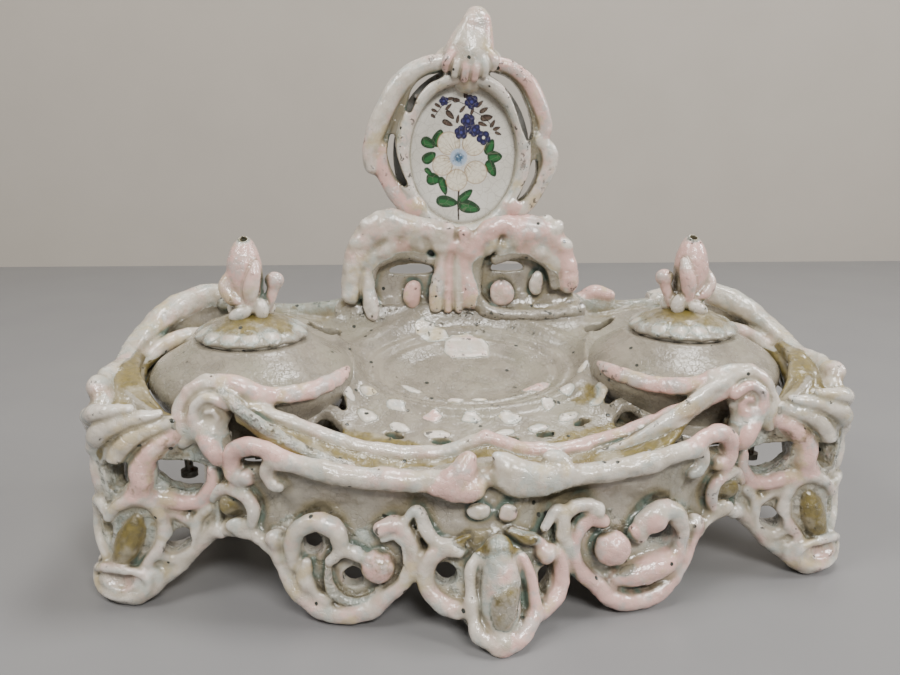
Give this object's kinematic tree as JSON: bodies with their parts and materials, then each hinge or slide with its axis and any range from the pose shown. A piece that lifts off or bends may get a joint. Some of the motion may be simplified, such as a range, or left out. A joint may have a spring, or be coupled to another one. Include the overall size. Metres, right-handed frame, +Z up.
{
  "type": "double inkstand",
  "caption": "Rococo style cast-iron double inkstand with domed ink wells, lift-off lids, pen rail, saucer and an upright porcelain plaque.",
  "frame": {"origin": "on the ground under the middle of the stand", "axes": "+X along the width, +Y towards the back with the plaque, +Z up"},
  "size_m": [0.268, 0.144, 0.207],
  "materials": {
    "painted_iron": "thick glossy cream and pink paint, chipped and crazed",
    "painted_iron_grey": "thick glossy warm grey paint, crazed",
    "lid_paint": "glossy grey and ochre paint with a white rim",
    "plaque_porcelain": "glossy glaze with painted flowers and fine crazing",
    "pot_glaze": "white glaze",
    "backing_card": "plain grey-brown card",
    "tin_cover": "dull tinned sheet",
    "steel_fastener": "darkened steel"
  },
  "bodies": {
    "stand": {"tray_deck": "painted_iron_grey", "pen_rail": "painted_iron", "front_apron": "painted_iron", "left_wing_casting": "painted_iron", "right_wing_casting": "painted_iron", "left_well_housing": "painted_iron_grey", "right_well_housing": "painted_iron_grey", "rear_skirt": "painted_iron_grey", "back_plate": "painted_iron", "plaque_frame": "painted_iron", "crest_finial": "painted_iron", "crest_stud": "steel_fastener", "porcelain_plaque": "plaque_porcelain", "plaque_backing": "backing_card", "plaque_back_cover": "tin_cover", "plaque_cover_screws": "steel_fastener", "frame_screws": "steel_fastener", "back_plate_screws": "steel_fastener", "rail_screws": "steel_fastener", "apron_screws": "steel_fastener", "wing_screws": "steel_fastener", "skirt_screws": "steel_fastener", "housing_screws": "steel_fastener"},
    "left_pot": {"left_ink_pot": "pot_glaze"},
    "right_pot": {"right_ink_pot": "pot_glaze"},
    "left_lid": {"left_lid": "lid_paint", "left_lid_finial": "painted_iron", "left_finial_nut": "steel_fastener"},
    "right_lid": {"right_lid": "lid_paint", "right_lid_finial": "painted_iron", "right_finial_nut": "steel_fastener"}
  },
  "joints": [
    {"name": "left_pot_lift", "type": "slide", "parent": "stand", "child": "left_pot", "axis": [0, 0, 1], "range_m": [0, 0.05]},
    {"name": "right_pot_lift", "type": "slide", "parent": "stand", "child": "right_pot", "axis": [0, 0, 1], "range_m": [0, 0.05]},
    {"name": "left_lid_lift", "type": "slide", "parent": "left_pot", "child": "left_lid", "axis": [0, 0, 1], "range_m": [0, 0.045]},
    {"name": "right_lid_lift", "type": "slide", "parent": "right_pot", "child": "right_lid", "axis": [0, 0, 1], "range_m": [0, 0.045]}
  ]
}
